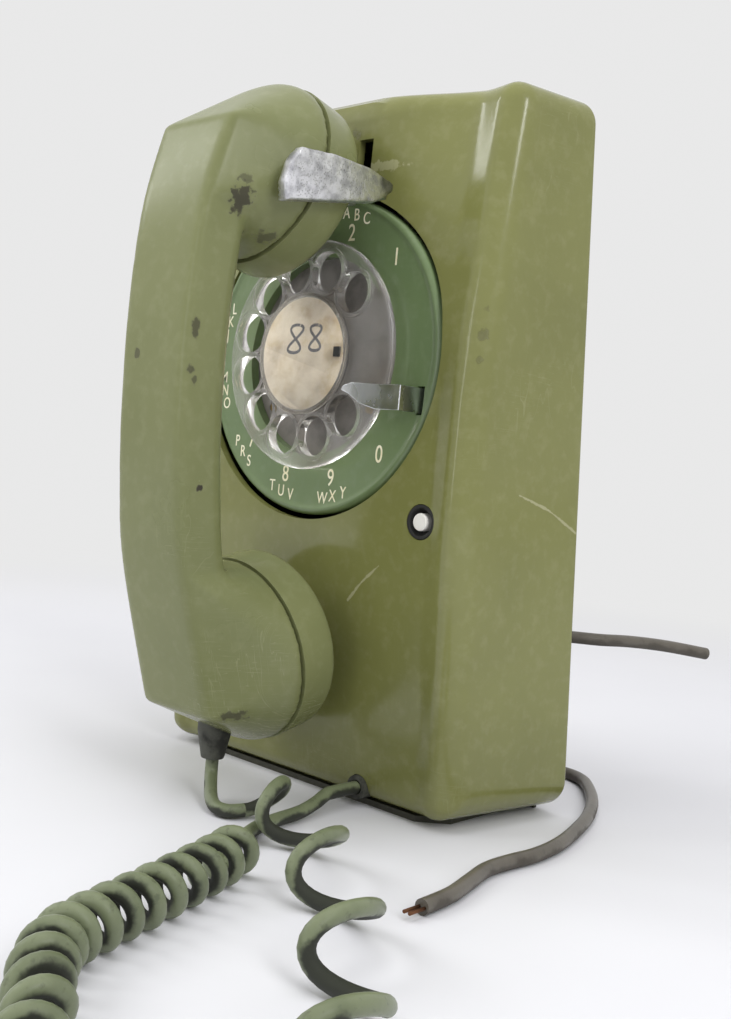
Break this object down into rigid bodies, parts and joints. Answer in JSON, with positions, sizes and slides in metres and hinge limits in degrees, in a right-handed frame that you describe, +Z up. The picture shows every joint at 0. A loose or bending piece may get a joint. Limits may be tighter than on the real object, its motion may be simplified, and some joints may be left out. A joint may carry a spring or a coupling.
{
  "type": "rotary wall telephone",
  "caption": "Rotary wall telephone with a leaning back, recessed dial with clear finger wheel, handset hung on a metal hook, push button, curly cord and cut line cables.",
  "frame": {"origin": "centre of the foot flange's flat face on the table, under the middle of the housing's depth", "axes": "+Z up, the dial faces -Y, +X to the viewer's right"},
  "size_m": [0.2695, 0.3518, 0.235],
  "materials": {
    "housing": "glossy olive plastic, scuffed",
    "handset": "glossy grey-green plastic, scuffed",
    "plate": "deep green plastic",
    "clear": "clear acrylic, grey with age",
    "card": "aged cream card",
    "hook": "worn pitted zinc casting",
    "chrome": "bright chrome strip",
    "steel": "zinc plated steel",
    "brass": "plain brass",
    "black": "black plastic",
    "white": "white plastic",
    "insulator": "brown insulating board",
    "copper": "bare copper",
    "relief": "dark grey rubber, dirty",
    "cord": "grey-green cord jacket with grime",
    "cable": "grey-brown cable jacket"
  },
  "bodies": {
    "body": {"housing": "housing", "base_plate": "steel", "housing_screw": "steel", "number_plate": "plate", "finger_stop": "chrome", "dial_frame": "steel", "dial_bracket": "steel", "main_spring": "steel", "pulse_springs": "brass", "governor_cup": "steel", "dial_screws": "steel", "hook_bracket": "steel", "hook_pin": "steel", "hook_spring": "steel", "hook_switch": "insulator", "ringer_frame": "steel", "ringer_coil": "copper", "gong_left": "brass", "gong_right": "brass", "gong_screws": "steel", "clapper_pin": "steel", "network_block": "insulator", "terminal_screws": "brass", "button_bush": "black", "button_spring": "steel", "button_switch": "black", "switch_bracket": "steel", "cord_grommet": "relief", "handset_cord": "cord", "line_cable_side": "cable", "line_cable_back": "cable", "wire_ends": "copper"},
    "dial": {"finger_wheel": "clear", "number_card": "card", "card_retainer": "clear", "dial_shaft": "steel", "main_gear": "brass"},
    "pulse": {"pulse_gear": "brass"},
    "governor": {"governor_shaft": "brass"},
    "hook": {"hook_lever": "hook"},
    "clapper": {"clapper": "steel"},
    "button": {"button": "white"},
    "handset": {"handset_shell": "handset", "receiver_cap": "handset", "transmitter_cap": "handset", "receiver_unit": "black", "transmitter_unit": "black", "contact_cup": "insulator", "strain_relief": "relief"}
  },
  "joints": [
    {"name": "dial_turn", "type": "hinge", "parent": "body", "child": "dial", "pos_m": [0, -0.03, 0.149], "axis": [0, 1, 0], "range_deg": [0, 320], "stiffness_Nm_per_rad": 0.012, "springref_deg": -57.3},
    {"name": "pulse_spin", "type": "hinge", "parent": "body", "child": "pulse", "pos_m": [-0.02439, -0.02, 0.13128], "axis": [0, 1, 0], "range_deg": [-1290, 10]},
    {"name": "governor_spin", "type": "hinge", "parent": "body", "child": "governor", "pos_m": [0.02342, -0.02, 0.13198], "axis": [0, 1, 0], "range_deg": [-1610, 10]},
    {"name": "handset_lift", "type": "slide", "parent": "body", "child": "handset", "axis": [0, -0.342, 0.9397], "range_m": [0, 0.16]},
    {"name": "hook_swing", "type": "hinge", "parent": "body", "child": "hook", "pos_m": [0, -0.008, 0.208], "axis": [-1, 0, 0], "range_deg": [0, 10.2]},
    {"name": "button_press", "type": "slide", "parent": "body", "child": "button", "axis": [0, 1, 0], "range_m": [0, 0.003], "stiffness_N_per_m": 300, "springref_m": -0.002, "deforming": ["button_spring"]},
    {"name": "clapper_swing", "type": "hinge", "parent": "body", "child": "clapper", "pos_m": [0, 0.0055, 0.084], "axis": [0, 1, 0], "range_deg": [-8, 8], "stiffness_Nm_per_rad": 0.01}
  ],
  "couplings": [
    {"joint": "pulse_spin", "follows": "dial_turn", "ratio": -4},
    {"joint": "governor_spin", "follows": "dial_turn", "ratio": -5},
    {"joint": "hook_swing", "follows": "handset_lift", "rad_per_m": 1.0908}
  ]
}
